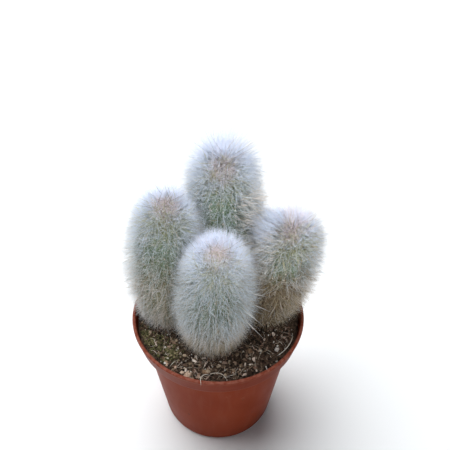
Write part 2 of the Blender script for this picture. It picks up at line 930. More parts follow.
def arc(centre: tuple[float, float], radius: float, start: float, end: float,
        count: int) -> list[tuple[float, float]]:
    """Draw an arc in a half section.

    Args:
        centre: Its centre as (radius, height).
        radius: Its own radius.
        start: Angle at its start, in degrees.
        end: Angle at its end.
        count: Steps between them.

    Returns:
        One point more than there are steps.
    """
    angles = [math.radians(start + (end - start) * step / count) for step in range(count + 1)]
    return [(centre[0] + radius * math.cos(angle), centre[1] + radius * math.sin(angle))
            for angle in angles]


@dataclass(frozen=True)
class NurseryPot:
    """The thin tapered pot with its collar, rolled lip and drain holes.

    Attributes:
        height: Height over all.
        rim_radius: Radius over the lip.
        lip: Thickness of the lip.
        wall: Thickness of the wall.
        collar_height: Height of the collar.
        shoulder_drop: Height of the shoulder below the collar.
        body_top_radius: Outer radius of the body, under the shoulder.
        base_radius: Outer radius of the body at the foot.
        rounding: Radius of the edge at the foot.
        floor: Thickness of the floor.
        holes: How many drain holes it has.
        hole_ring: Distance of the holes from the middle.
        hole_radius: Radius of a hole.
        steps: Corners about the pot.
        sharp_angle: Least angle of an edge that stays sharp, in degrees.
    """

    height: float = 86.0 * MM
    rim_radius: float = 52.5 * MM
    lip: float = 2.0 * MM
    wall: float = 1.3 * MM
    collar_height: float = 12.0 * MM
    shoulder_drop: float = 2.6 * MM
    body_top_radius: float = 45.8 * MM
    base_radius: float = 35.8 * MM
    rounding: float = 2.0 * MM
    floor: float = 1.6 * MM
    holes: int = 5
    hole_ring: float = 22.0 * MM
    hole_radius: float = 3.5 * MM
    steps: int = 160
    sharp_angle: float = 40.0

    def body_radius(self, height: float) -> float:
        """Return the outer radius of the tapered body at a height."""
        share = height / (self.height - self.collar_height - self.shoulder_drop)
        return self.base_radius + (self.body_top_radius - self.base_radius) * share

    def collar_inner_radius(self, height: float) -> float:
        """Find the inside of the collar.

        Args:
            height: Height over the floor.

        Returns:
            The inner radius there.
        """
        foot = COLLAR_FOOT_RADIUS - self.wall
        share = (height - self.height + self.collar_height) / (self.collar_height - self.lip / 2)
        return foot + (self.rim_radius - self.lip - foot) * share

    def inside(self) -> list[tuple[float, float]]:
        """Draw the inside.

        Returns:
            Points from the foot of the collar to the middle of the floor.
        """
        collar_foot = self.height - self.collar_height
        return [
            (COLLAR_FOOT_RADIUS - self.wall, collar_foot),
            (self.body_top_radius - self.wall, collar_foot - self.shoulder_drop),
            (self.body_radius(self.floor + self.rounding) - self.wall, self.floor + self.rounding),
            (self.base_radius - self.wall - self.rounding, self.floor),
            (0.0, self.floor),
        ]

    def section(self) -> list[tuple[float, float]]:
        """Draw the half section.

        Returns:
            Points up the inside, over the lip and down the outside.
        """
        collar_foot = self.height - self.collar_height
        lip = arc((self.rim_radius - self.lip / 2, self.height - self.lip / 2), self.lip / 2,
                  180.0, 0.0, 14)
        shoulder = collar_foot - self.shoulder_drop
        outside = [
            (self.rim_radius - 0.06 * MM, self.height - 1.7 * MM),
            (self.rim_radius - 0.35 * MM, self.height - 2.2 * MM),
            (self.rim_radius - 0.50 * MM, self.height - 2.9 * MM),
            (COLLAR_FOOT_RADIUS + 0.30 * MM, collar_foot + 1.6 * MM),
            (COLLAR_FOOT_RADIUS + 0.10 * MM, collar_foot + 0.7 * MM),
            (COLLAR_FOOT_RADIUS - 0.15 * MM, collar_foot + 0.1 * MM),
            (COLLAR_FOOT_RADIUS - 0.70 * MM, collar_foot - 0.3 * MM),
            (COLLAR_FOOT_RADIUS - 2.40 * MM, collar_foot - 1.2 * MM),
            (self.body_top_radius + 0.70 * MM, shoulder + 0.7 * MM),
            (self.body_top_radius + 0.15 * MM, shoulder),
            (self.body_radius(shoulder - 0.9 * MM), shoulder - 0.9 * MM),
            (self.body_radius(shoulder - 2.4 * MM), shoulder - 2.4 * MM),
            (self.body_radius(36.0 * MM), 36.0 * MM),
            (self.body_radius(3.5 * MM), 3.5 * MM),
        ]
        foot = arc((self.base_radius - self.rounding, self.rounding), self.rounding, 0.0, -90.0, 8)
        return self.inside()[::-1] + lip + outside + foot + [(0.0, 0.0)]

    def drill(self) -> bpy.types.Mesh:
        """Build what the drain holes are cut with.

        Returns:
            One rod through each hole.
        """
        shape = bmesh.new()
        for number in range(self.holes):
            angle = math.tau * (number + 0.5) / self.holes
            place = Vector((math.cos(angle), math.sin(angle), 0.0)) * self.hole_ring
            bmesh.ops.create_cone(shape, cap_ends=True, segments=32, radius1=self.hole_radius,
                                  radius2=self.hole_radius, depth=4 * self.floor,
                                  matrix=Matrix.Translation(place))
        mesh = bpy.data.meshes.new("pot_drill")
        shape.to_mesh(mesh)
        shape.free()
        return mesh

    def build(self) -> None:
        """Build the pot, cut its drain holes and add it as a piece."""
        blank = bpy.data.objects.new("pot_blank", turned_mesh("pot_blank", self.section(), self.steps))
        drill = bpy.data.objects.new("pot_drill", self.drill())
        for helper in (blank, drill):
            bpy.context.scene.collection.objects.link(helper)
        cut = blank.modifiers.new("Drain", "BOOLEAN")
        cut.operation = "DIFFERENCE"
        cut.object = drill
        graph = bpy.context.evaluated_depsgraph_get()
        mesh = bpy.data.meshes.new_from_object(blank.evaluated_get(graph))
        for helper in (blank, drill):
            bpy.data.objects.remove(helper, do_unlink=True)
        set_smooth(mesh, True)
        mesh.set_sharp_from_angle(angle=math.radians(self.sharp_angle))
        add_piece("pot_shell", mesh, ClayPlasticFinish().material(), "pot")


POT = NurseryPot()


@dataclass(frozen=True)
class StemForm:
    """The plain ribbed form of one stem, as the frame has it, and how its hair differs.

    Attributes:
        name: Name of its CAD node.
        base: Where its centre line meets the soil.
        lean: How far the line has moved aside at the top.
        height: Height over the soil.
        radius: Radius over the ribs at the waist.
        waist: Share of the height at which it is widest.
        crown_hair: Length of the hair that points straight up.
        tip_offset: Place of the growing tip, from the top of the centre line.
        brown: How much of the old hair is brown.
        brown_top: Share of the height at which the brown starts.
        brown_side: Direction in which the stem is brownest.
        droop: How far low hair hangs.
        thickness: How much hair there is, against the plain count.
        seed: Start of its random draws.
    """

    name: str
    base: tuple[float, float]
    lean: tuple[float, float]
    height: float
    radius: float
    waist: float
    crown_hair: float
    tip_offset: tuple[float, float]
    brown: float
    brown_top: float
    brown_side: tuple[float, float]
    droop: float
    thickness: float
    seed: int

    def radius_at(self, share: Array) -> Array:
        """Find how thick the stem is.

        Args:
            share: Shares of the height.

        Returns:
            The radius over the ribs at each.
        """
        upper = np.clip(share - self.waist, 0.0, None) / (1.0 - self.waist)
        lower = np.clip(1.0 - share / self.waist, 0.0, None)
        lower = lower * (1.0 - FOOT_SHARE ** ROUNDNESS) ** (1.0 / ROUNDNESS)
        depth = np.maximum(upper, lower)
        return self.radius * np.clip(1.0 - depth ** ROUNDNESS, 0.0, None) ** (1.0 / ROUNDNESS)

    def middle(self, height: Array) -> Array:
        """Find points of the leaning centre line.

        Args:
            height: Heights over the soil.

        Returns:
            One point for each.
        """
        share = np.clip(height / self.height, 0.0, None)
        return np.stack([self.base[0] + self.lean[0] * share, self.base[1] + self.lean[1] * share,
                         STEM_GROUND + height], axis=-1)

    def surface(self, rise: Array, angle: Array) -> Array:
        """Return points of the ribbed surface.

        Args:
            rise: Way up the stem from 0 to 1, finer towards the apex.
            angle: Angle about the stem. A valley lies at 0.

        Returns:
            One point for each pair.
        """
        share = np.sin(np.clip(rise, 0.0, 1.0) * math.pi / 2)
        valley = (0.5 + 0.5 * np.cos(angle * RIBS)) ** 1.4
        radius = self.radius_at(share) * (1.0 - RIB_DEPTH / self.radius * valley)
        spoke = np.stack([np.cos(angle), np.sin(angle), np.zeros_like(angle)], axis=-1)
        return self.middle(share * self.height) + spoke * radius[..., None]

    def normals(self, rise: Array, angle: Array) -> tuple[Array, Array, Array]:
        """Find how the surface lies.

        Args:
            rise: Way up the stem from 0 to 1.
            angle: Angle about the stem.

        Returns:
            The outward, the upward and the sideways directions.
        """
        step = 0.002
        rise = np.clip(rise, step, 1.0 - 2 * step)
        up = unit(self.surface(rise + step, angle) - self.surface(rise - step, angle))
        around = unit(self.surface(rise, angle + step) - self.surface(rise, angle - step))
        return unit(np.cross(around, up)), up, around

    def growing_tip(self) -> Array:
        """Find the growing tip.

        Returns:
            The point of the dome from which the youngest hair grows.
        """
        rise, angle = np.linspace(0.5, 1.0, 200), math.atan2(self.tip_offset[1], self.tip_offset[0])
        line = self.surface(rise, np.full(len(rise), angle))
        away = np.linalg.norm(line[:, :2] - self.middle(np.array([self.height]))[0, :2], axis=1)
        return line[np.argmin(np.abs(away - math.hypot(*self.tip_offset)))]

    def way(self) -> tuple[Array, Array]:
        """Measure the way up the outline.

        Returns:
            Samples of the rise, and the distance up to each.
        """
        rise = np.linspace(0.0, 1.0, 401)
        share = np.sin(rise * math.pi / 2)
        steps = np.hypot(np.diff(self.radius_at(share)), np.diff(share * self.height))
        return rise, np.concatenate([[0.0], np.cumsum(steps)])


STEMS = (
    StemForm("stem_front", base=(-4.2 * MM, -15.6 * MM), lean=(3.6 * MM, -1.5 * MM),
             height=70.5 * MM, radius=15.5 * MM, waist=0.44,
             crown_hair=13.6 * MM, tip_offset=(0.0, -3.0 * MM),
             brown=0.62, brown_top=0.46, brown_side=(0.2, -0.5),
             droop=0.30, thickness=1.25, seed=11),
    StemForm("stem_left", base=(-31.2 * MM, 4.5 * MM), lean=(2.8 * MM, 2.0 * MM),
             height=83.5 * MM, radius=16.7 * MM, waist=0.38,
             crown_hair=17.3 * MM, tip_offset=(0.5 * MM, -3.0 * MM),
             brown=0.38, brown_top=0.80, brown_side=(0.7, -0.5),
             droop=0.12, thickness=0.90, seed=23),
    StemForm("stem_back", base=(3.4 * MM, 27.0 * MM), lean=(-1.0 * MM, -1.5 * MM),
             height=99.0 * MM, radius=17.3 * MM, waist=0.50,
             crown_hair=24.6 * MM, tip_offset=(0.0, -6.0 * MM),
             brown=0.40, brown_top=0.40, brown_side=(0.9, -0.2),
             droop=0.10, thickness=1.0, seed=37),
    StemForm("stem_right", base=(30.0 * MM, 5.5 * MM), lean=(11.7 * MM, 0.0),
             height=69.0 * MM, radius=15.0 * MM, waist=0.48,
             crown_hair=13.8 * MM, tip_offset=(-2.2 * MM, -4.6 * MM),
             brown=1.0, brown_top=0.74, brown_side=(-0.8, -0.5),
             droop=0.10, thickness=0.76, seed=53),
)


@dataclass(frozen=True)
class Coat:
    """How one kind of hair grows all over a stem.

    Attributes:
        name: Name of the kind.
        build: How finely each strand is made.
        count: How many strands a stem of plain thickness has.
        tilt: Least and most slant, in degrees.
        length: Length on the sides.
        crown_share: Length at the top, as a share of the stem's crown hair.
        width: Thickness at the root.
        curl: How far a strand bends.
        tint_shift: Step up the scale of tints.
        fixed_tint: Its only tint, where it doesn't follow the stem.
        tip_reach: Greatest distance from the growing tip, for the kinds that grow only there.
    """

    name: str
    build: Build
    count: int
    tilt: tuple[float, float]
    length: float
    crown_share: float
    width: float
    curl: float = 0.0
    tint_shift: float = 0.0
    fixed_tint: float | None = None
    tip_reach: float | None = None


COATS = (
    Coat("fleece", Build.NEEDLE, 4200, tilt=(20.0, 72.0), length=8.0 * MM, crown_share=0.9,
         width=0.17 * MM),
    Coat("strokes", Build.HAIR, 2300, tilt=(10.0, 50.0), length=11.5 * MM, crown_share=0.95,
         width=0.27 * MM, curl=0.50, tint_shift=0.06),
    Coat("spines", Build.NEEDLE, 9000, tilt=(2.0, 38.0), length=11.8 * MM, crown_share=1.0,
         width=0.18 * MM, tint_shift=0.02),
    Coat("hair", Build.HAIR, 4200, tilt=(4.0, 50.0), length=11.8 * MM, crown_share=1.0,
         width=0.16 * MM, curl=0.20, tint_shift=0.02),
    Coat("bristles", Build.HAIR, 260, tilt=(5.0, 60.0), length=12.5 * MM, crown_share=0.5,
         width=0.16 * MM, fixed_tint=0.22),
    Coat("apex_wool", Build.NEEDLE, 640, tilt=(20.0, 80.0), length=3.5 * MM, crown_share=0.24,
         width=0.24 * MM, fixed_tint=0.96, tip_reach=6.8 * MM),
    Coat("crown_fleece", Build.NEEDLE, 1900, tilt=(25.0, 75.0), length=6.5 * MM, crown_share=0.50,
         width=0.20 * MM, tip_reach=19.0 * MM),
    Coat("crown_bristles", Build.HAIR, 50, tilt=(30.0, 76.0), length=12.5 * MM, crown_share=0.90,
         width=0.165 * MM, fixed_tint=0.07, tip_reach=7.5 * MM),
)


@dataclass(frozen=True)
class Grooming:
    """How the hair of every stem lies, thins out and changes colour.

    Attributes:
        front: Direction that counts as the front of a stem.
        front_range: How far a place faces the front where the change starts and is whole.
        front_thinning: Share of the strands that the front goes without.
        front_tilt: How much flatter they lie there, in degrees, so that they show as strokes.
        crown_reach: Distance from the top over which the hair gets denser.
        crown_density: How many times denser it is at the top.
        lie: How unevenly the bundles of hair lie.
        upright: How steeply the length changes towards the crown.
        young_reach: Distances from the growing tip at which hair starts to get longer and is full.
        young_length: Length at the growing tip, as a share.
        young_lean: Push that the youngest hair gets.
        lean_reach: Distances from the growing tip at which that push ends and is whole.
        most_lean: Most slant, in degrees, that the length makes up for.
        foot_length: Length at the soil, as a share.
        wool: Distances from the growing tip at which the pinkish wool ends and is whole.
        golden_start: Distances from the growing tip over which golden hair sets in.
        golden_end: Distances from it at which golden hair has ended and starts to end.
        golden_range: How far a place faces the front where golden hair starts and is whole.
        golden_share: How much of the hair just below a growing tip is golden green.
        crown_range: How far a place faces up where the white crown starts and is whole.
        mingling: How deep the hair of two stems may reach into each other.
    """

    front: tuple[float, float, float] = (0.0, -0.80, 0.60)
    front_range: tuple[float, float] = (0.45, 0.95)
    front_thinning: float = 0.54
    front_tilt: float = 26.0
    crown_reach: float = 26.0 * MM
    crown_density: float = 3.8
    lie: float = 0.12
    upright: float = 2.2
    young_reach: tuple[float, float] = (3.0 * MM, 8.5 * MM)
    young_length: float = 0.38
    young_lean: tuple[float, float, float] = (0.0, -0.75, 0.0)
    lean_reach: tuple[float, float] = (9.0 * MM, 3.0 * MM)
    most_lean: float = 42.0
    foot_length: float = 0.66
    wool: tuple[float, float] = (6.6 * MM, 3.4 * MM)
    golden_start: tuple[float, float] = (4.0 * MM, 7.0 * MM)
    golden_end: tuple[float, float] = (17.0 * MM, 10.0 * MM)
    golden_range: tuple[float, float] = (0.58, 0.90)
    golden_share: float = 0.80
    crown_range: tuple[float, float] = (0.30, 0.70)
    mingling: float = 6.0 * MM


GROOMING = Grooming()


@dataclass(frozen=True)
class Tuft:
    """A bunch of longer hair that grows from one side of a stem.

    Attributes:
        name: Name of the bunch.
        count: How many strands it has.
        rise: Lowest and highest way up the stem, from 0 to 1.
        side: Range of angles about the stem, in degrees.
        aim: Direction in which the hair points.
        spread: How far strands stray from it.
        length: Least and most length.
        width: Thickness at the root.
        tint: Middle of its tints.
    """

    name: str
    count: int
    rise: tuple[float, float]
    side: tuple[float, float]
    aim: tuple[float, float, float]
    spread: float
    length: tuple[float, float]
    width: float
    tint: float


TUFTS = {
    "stem_right": (
        Tuft("tan_tuft", 460, rise=(0.30, 0.80), side=(145.0, 250.0), aim=(-0.60, -0.50, 0.50),
             spread=0.32, length=(12.0 * MM, 17.0 * MM), width=0.22 * MM, tint=0.59),
        Tuft("shoulder_tuft", 460, rise=(0.66, 0.97), side=(120.0, 230.0), aim=(-0.75, -0.05, 0.60),
             spread=0.22, length=(16.0 * MM, 21.0 * MM), width=0.22 * MM, tint=0.80),
        Tuft("parting_tuft", 300, rise=(0.80, 0.985), side=(140.0, 265.0), aim=(-0.30, -0.40, 0.82),
             spread=0.34, length=(8.0 * MM, 13.0 * MM), width=0.20 * MM, tint=0.93),
        Tuft("low_tuft", 60, rise=(0.12, 0.30), side=(-50.0, 40.0), aim=(0.85, -0.30, -0.05),
             spread=0.30, length=(9.0 * MM, 13.0 * MM), width=0.20 * MM, tint=0.30),
    ),
    "stem_back": (
        Tuft("tan_tuft", 520, rise=(0.28, 0.62), side=(-75.0, 10.0), aim=(0.38, -0.60, 0.70),
             spread=0.26, length=(15.0 * MM, 20.0 * MM), width=0.26 * MM, tint=0.57),
        Tuft("crown_tuft", 240, rise=(0.93, 0.995), side=(0.0, 360.0), aim=(0.0, -0.20, 0.95),
             spread=0.28, length=(9.0 * MM, 16.0 * MM), width=0.20 * MM, tint=0.84),
        Tuft("tip_tuft", 110, rise=(0.82, 0.95), side=(240.0, 300.0), aim=(0.0, -0.05, 0.95),
             spread=0.40, length=(6.0 * MM, 11.0 * MM), width=0.20 * MM, tint=0.955),
        Tuft("tip_bristles", 70, rise=(0.80, 0.96), side=(225.0, 315.0), aim=(0.0, -0.30, 0.80),
             spread=0.55, length=(7.0 * MM, 12.0 * MM), width=0.18 * MM, tint=0.12),
    ),
}
# Stiff straws, in millimetres: from x, y, z; to x, y, z; width
STRAWS = {
    "stem_front": (
        (8.4, -27.5, 125.5, 24.4, -40.0, 118.8, 0.76),
        (9.7, -27.0, 116.4, 25.0, -40.0, 108.6, 0.76),
        (6.0, -29.0, 104.9, 11.9, -41.0, 102.9, 0.55),
        (11.8, -21.8, 127.3, 27.5, -28.0, 128.6, 0.55),
        (13.6, -22.0, 120.2, 30.3, -28.0, 116.0, 0.55),
    ),
}


@dataclass
class Roots:
    """Where the strands of one coat grow: one row of numbers for each.

    Attributes:
        rise: Way up the stem.
        angle: Angle about the stem.
        lie: How far the bundle at that place leans up and aside.
        to_tip: Distance to the growing tip.
        normal: Outward direction.
        up: Upward direction along the surface.
        around: Sideways direction.
        front: How far the place counts as the front.
    """

    rise: Array
    angle: Array
    lie: Array
    to_tip: Array
    normal: Array
    up: Array
    around: Array
    front: Array

    def chosen(self, kept: Array) -> "Roots":
        """Return the roots that are kept, given by their numbers."""
        return Roots(*(getattr(self, field.name)[kept] for field in fields(self)))

    def turned(self, turn: Array) -> Array:
        """Return directions along the surface, turned by an angle from the upward one."""
        return self.up * np.cos(turn) + self.around * np.sin(turn)


@dataclass(frozen=True)
class HairyStem:
    """One stem: its ribbed body, its woolly areoles and its coats of hair.

    Attributes:
        form: Its plain form.
        others: The other stems, which its hair keeps off.
        columns: Corners about its body.
        rings: Corners up its body.
        row_pitch: Mean distance between two areoles of a rib.
        first_row: Distance from its foot to the first row of areoles.
        last_row_radius: Radius of the last full row.
        crowding: How much closer the upper rows stand.
        apex_pitch: Distance between the rows at the apex.
        cushion: Half the size of an areole's cushion.
        bare_tip: Distance from the growing tip to the first cushion.
        clearance: Gap between hair and soil or wall.
    """

    form: StemForm
    others: tuple[StemForm, ...]
    columns: int = RIBS * 6
    rings: int = 96
    row_pitch: float = 8.3 * MM
    first_row: float = 3.9 * MM
    last_row_radius: float = 3.4 * MM
    crowding: float = 1.2
    apex_pitch: float = 1.3 * MM
    cushion: float = 0.65 * MM
    bare_tip: float = 8.0 * MM
    clearance: float = 0.5 * MM

    def rows(self) -> Array:
        """Place the rows of areoles.

        Returns:
            The distance along the outline to each row.
        """
        form = self.form
        rise, distance = form.way()
        radius = form.radius_at(np.sin(rise * math.pi / 2))
        last = distance[np.nonzero(radius >= self.last_row_radius)[0][-1]] - 1.3 * MM
        span = last - self.first_row
        count = 2 * round(span / self.row_pitch)
        rows = self.first_row + span * (1.0 - (1.0 - np.arange(count + 1) / count) ** self.crowding)
        top = np.arange(last + self.apex_pitch, distance[-1] - 0.4 * MM, self.apex_pitch)
        return np.concatenate([rows, top])

    def build(self) -> None:
        """Build every piece of the stem."""
        self.build_body()
        self.build_areoles()
        for number, coat in enumerate(COATS):
            self.build_coat(coat, np.random.default_rng(self.form.seed + 1000 * (number + 1)))
        for number, tuft in enumerate(TUFTS.get(self.form.name, ())):
            self.build_tuft(tuft, np.random.default_rng(self.form.seed + 100 * (number + 1)))
        if self.form.name in STRAWS:
            self.build_straws(np.array(STRAWS[self.form.name]) * MM)

    def piece(self, kind: str, mesh: bpy.types.Mesh, material: bpy.types.Material) -> None:
        """Add one of the stem's meshes as a piece."""
        add_piece(f"{self.form.name}_{kind}", mesh, material, self.form.name)

    def build_body(self) -> None:
        """Set a sphere's grid on the ribbed form, from its root end to its apex."""
        form = self.form
        shape = bmesh.new()
        bmesh.ops.create_uvsphere(shape, u_segments=self.columns, v_segments=self.rings, radius=1.0)
        mesh = bpy.data.meshes.new("body")
        shape.to_mesh(mesh)
        shape.free()
        ball = np.empty(3 * len(mesh.vertices), dtype=np.float32)
        mesh.vertices.foreach_get("co", ball)
        ball = ball.reshape(-1, 3).astype(float)
        ring = np.round(np.arccos(np.clip(-ball[:, 2], -1.0, 1.0)) / math.pi * self.rings)
        angle = np.arctan2(ball[:, 1], ball[:, 0])
        rise_samples, distance = form.way()
        above = np.clip((ring - 2) / (self.rings - 2), 0.0, 1.0)
        rise = np.interp(above * distance[-1], distance, rise_samples)
        points = form.surface(rise, angle)
        foot = form.radius_at(np.zeros(1))[0] * (ring > 0)
        spoke = np.stack([np.cos(angle), np.sin(angle)], axis=1) * foot[:, None]
        root = np.column_stack([np.array(form.base) + spoke,
                                STEM_GROUND - ROOT_DEPTH * (ring < 2)])
        points = np.where((ring < 2)[:, None], root, points)
        mesh.vertices.foreach_set("co", points.astype(np.float32).ravel())
        set_smooth(mesh, True)
        mesh.update()
        skin = SkinFinish(f"skin_{form.name}", form.brown, STEM_GROUND + form.brown_top * form.height)
        self.piece("body", mesh, skin.material())

    def build_areoles(self) -> None:
        """Set a small felted cushion on the crest of the ribs at each areole."""
        form = self.form
        stream = np.random.default_rng(form.seed)
        rise_samples, distance = form.way()
        rows = self.rows()
        rows = rows[rows < distance[-1] - 3.0 * MM]
        angles = (np.arange(RIBS) + 0.5) * math.tau / RIBS
        rise = np.repeat(np.interp(rows, distance, rise_samples), RIBS)
        angle = np.tile(angles, len(rows))
        places = form.surface(rise, angle)
        old = np.linalg.norm(places - form.growing_tip(), axis=1) > self.bare_tip
        rise, places = rise[old], places[old]
        sizes = self.cushion * stream.uniform(0.7, 1.1, (len(places), 3))
        tint = np.clip(0.54 - 0.20 * form.brown * smooth_step(0.6, 0.1, rise)
                       + stream.normal(0.0, 0.03, len(places)), 0.02, 0.98)
        mesh = lumps_mesh(Lump.BALL, places, sizes, tint, 0.15, stream)
        self.piece("areoles", mesh, HAIR.material())

    def drawn_roots(self, coat: Coat, wanted: int, stream: np.random.Generator) -> Roots:
        """Draw places on and about the areoles.

        Args:
            coat: The kind of hair.
            wanted: How many strands it may have at most.
            stream: Source of random draws.

        Returns:
            More roots than are wanted where the kind grows only at the growing tip.
        """
        form = self.form
        rise_samples, distance = form.way()
        rows = self.rows()
        spacing = np.gradient(rows)
        lie = np.random.default_rng(form.seed).normal(0.0, GROOMING.lie, (len(rows), RIBS, 2))
        if coat.tip_reach is not None:
            near = rows > distance[-1] - coat.tip_reach - 1.4 * math.hypot(*form.tip_offset)
            rows, spacing, lie = rows[near], spacing[near], lie[near]
        radius = form.radius_at(np.sin(np.interp(rows, distance, rise_samples) * math.pi / 2))
        crown = smooth_step(GROOMING.crown_reach, 0.4 * GROOMING.crown_reach, distance[-1] - rows)
        weight = spacing * (radius + 1.5 * MM) * (1.0 + (GROOMING.crown_density - 1.0) * crown)
        draws = wanted if coat.tip_reach is None else 12 * wanted
        row = stream.choice(len(rows), size=draws, p=weight / weight.sum())
        rib = stream.integers(RIBS, size=draws)
        along = rows[row] + stream.normal(0.0, 0.30, draws) * spacing[row]
        rise = np.interp(along, distance, rise_samples)
        aside = stream.normal(0.0, 1.5 * MM, draws) / np.maximum(radius[row], 2.5 * MM)
        angle = (rib + 0.5) * math.tau / RIBS + aside
        to_tip = np.linalg.norm(form.surface(rise, angle) - form.growing_tip(), axis=1)
        normal, up, around = form.normals(rise, angle)
        front = smooth_step(*GROOMING.front_range, normal @ np.array(GROOMING.front))
        return Roots(rise, angle, lie[row, rib], to_tip, normal, up, around, front)

    def roots(self, coat: Coat, stream: np.random.Generator) -> Roots:
        """Choose where the strands of a coat grow.

        Args:
            coat: The kind of hair.
            stream: Source of random draws.

        Returns:
            The roots: those near the growing tip, or all of them with the front thinned out.
        """
        wanted = round(coat.count * self.form.thickness)
        roots = self.drawn_roots(coat, wanted, stream)
        if coat.tip_reach is not None:
            return roots.chosen(np.nonzero(roots.to_tip < coat.tip_reach)[0][:wanted])
        thinned = stream.uniform(size=wanted) > GROOMING.front_thinning * roots.front
        return roots.chosen(np.nonzero(thinned)[0])

    def aims(self, roots: Roots, tilt: Array, stream: np.random.Generator) -> Array:
        """Choose the direction in which each strand leaves its root.

        Args:
            roots: Where the strands grow.
            tilt: Slant of each strand, as a column.
            stream: Source of random draws.

        Returns:
            One direction for each strand.
        """
        turn = stream.uniform(0.0, math.tau, len(tilt))[:, None]
        aim = roots.normal * np.cos(tilt) + roots.turned(turn) * np.sin(tilt)
        aim = aim + roots.up * roots.lie[:, :1] + roots.around * roots.lie[:, 1:]
        young = smooth_step(*GROOMING.lean_reach, roots.to_tip)[:, None]
        return unit(aim + np.array(GROOMING.young_lean) * young)

    def lengths(self, coat: Coat, roots: Roots, tilt: Array, stream: np.random.Generator) -> Array:
        """Choose how long each strand is, so that their ends lie on one soft surface.

        Args:
            coat: The kind of hair.
            roots: Where the strands grow.
            tilt: Slant of each strand, as a column.
            stream: Source of random draws.

        Returns:
            One length for each strand.
        """
        raised = np.clip(roots.normal[:, 2], 0.0, 1.0) ** GROOMING.upright
        length = coat.length + (self.form.crown_hair * coat.crown_share - coat.length) * raised
        if coat.tip_reach is None:
            grown = smooth_step(*GROOMING.young_reach, roots.to_tip)
            length = length * (GROOMING.young_length + (1.0 - GROOMING.young_length) * grown)
        lean = np.minimum(0.85 * tilt[:, 0], math.radians(GROOMING.most_lean))
        length = length * (1.03 - 0.15 * stream.power(0.6, len(tilt))) / np.cos(lean)
        full = smooth_step(0.04, 0.36, roots.rise)
        return length * (GROOMING.foot_length + (1.0 - GROOMING.foot_length) * full)

    def sags(self, coat: Coat, roots: Roots, length: Array, stream: np.random.Generator) -> Array:
        """Choose how each strand bends.

        Args:
            coat: The kind of hair.
            roots: Where the strands grow.
            length: Length of each strand.
            stream: Source of random draws.

        Returns:
            How far each strand's end moves from its straight way.
        """
        turn = stream.uniform(0.0, math.tau, len(length))[:, None]
        curl = coat.curl * stream.uniform(0.3, 1.0, len(length))[:, None]
        sag = roots.turned(turn) * curl - 0.4 * roots.normal * curl
        sag = (sag + stream.normal(0.0, 0.07, (len(length), 3))) * length[:, None]
        sag[:, 2] -= self.form.droop * smooth_step(0.75, 0.10, roots.rise) * length
        return sag

    def build_coat(self, coat: Coat, stream: np.random.Generator) -> None:
        """Grow one coat of hair.

        Args:
            coat: The kind of hair.
            stream: Source of random draws.
        """
        roots = self.roots(coat, stream)
        count = len(roots.rise)
        flatter = math.radians(GROOMING.front_tilt) * roots.front
        tilt = (np.radians(stream.uniform(*coat.tilt, count)) + flatter)[:, None]
        aim = self.aims(roots, tilt, stream)
        length = self.lengths(coat, roots, tilt, stream)
        self.add_strands(coat.name, coat.build, Strands(
            root=self.form.surface(roots.rise, roots.angle) - roots.normal * GAP,
            aim=aim * length[:, None],
            sag=self.sags(coat, roots, length, stream),
            width=coat.width * stream.uniform(0.7, 1.3, count),
            tint=self.tints(coat, roots, stream),
        ))

    def add_strands(self, kind: str, build: Build, strands: Strands) -> None:
        """Keep strands clear of what stands about them, and add them as a piece."""
        strands.bend_to(self.cleared(strands.tip))
        self.piece(kind, strands.mesh(build, 0.4), HAIR.material())

    def build_tuft(self, tuft: Tuft, stream: np.random.Generator) -> None:
        """Grow one bunch of longer hair.

        Args:
            tuft: The bunch.
            stream: Source of random draws.
        """
        form = self.form
        count = tuft.count
        rise = stream.uniform(*tuft.rise, count)
        angle = np.radians(stream.uniform(*tuft.side, count))
        normal = form.normals(rise, angle)[0]
        aim = unit(np.array(tuft.aim) + 0.5 * normal + stream.normal(0.0, tuft.spread, (count, 3)))
        reach = stream.uniform(*tuft.length, count)
        self.add_strands(tuft.name, Build.HAIR, Strands(
            root=form.surface(rise, angle) - normal * GAP,
            aim=aim * reach[:, None],
            sag=stream.normal(0.0, 0.10, (count, 3)) * reach[:, None],
            width=tuft.width * stream.uniform(0.7, 1.3, count),
            tint=np.clip(tuft.tint + stream.normal(0.0, 0.05, count), 0.01, 0.99),
        ))

    def build_straws(self, rows: Array) -> None:
        """Set the few stiff pale straws that stick out of the hair.

        Args:
            rows: One row for each, laid out as in STRAWS.
        """
        root, tip = rows[:, 0:3], rows[:, 3:6]
        strands = Strands(root, tip - root, np.zeros_like(root), rows[:, 6], np.full(len(rows), 0.60))
        self.piece("straws", strands.mesh(Build.HAIR, 0.4), HAIR.material())

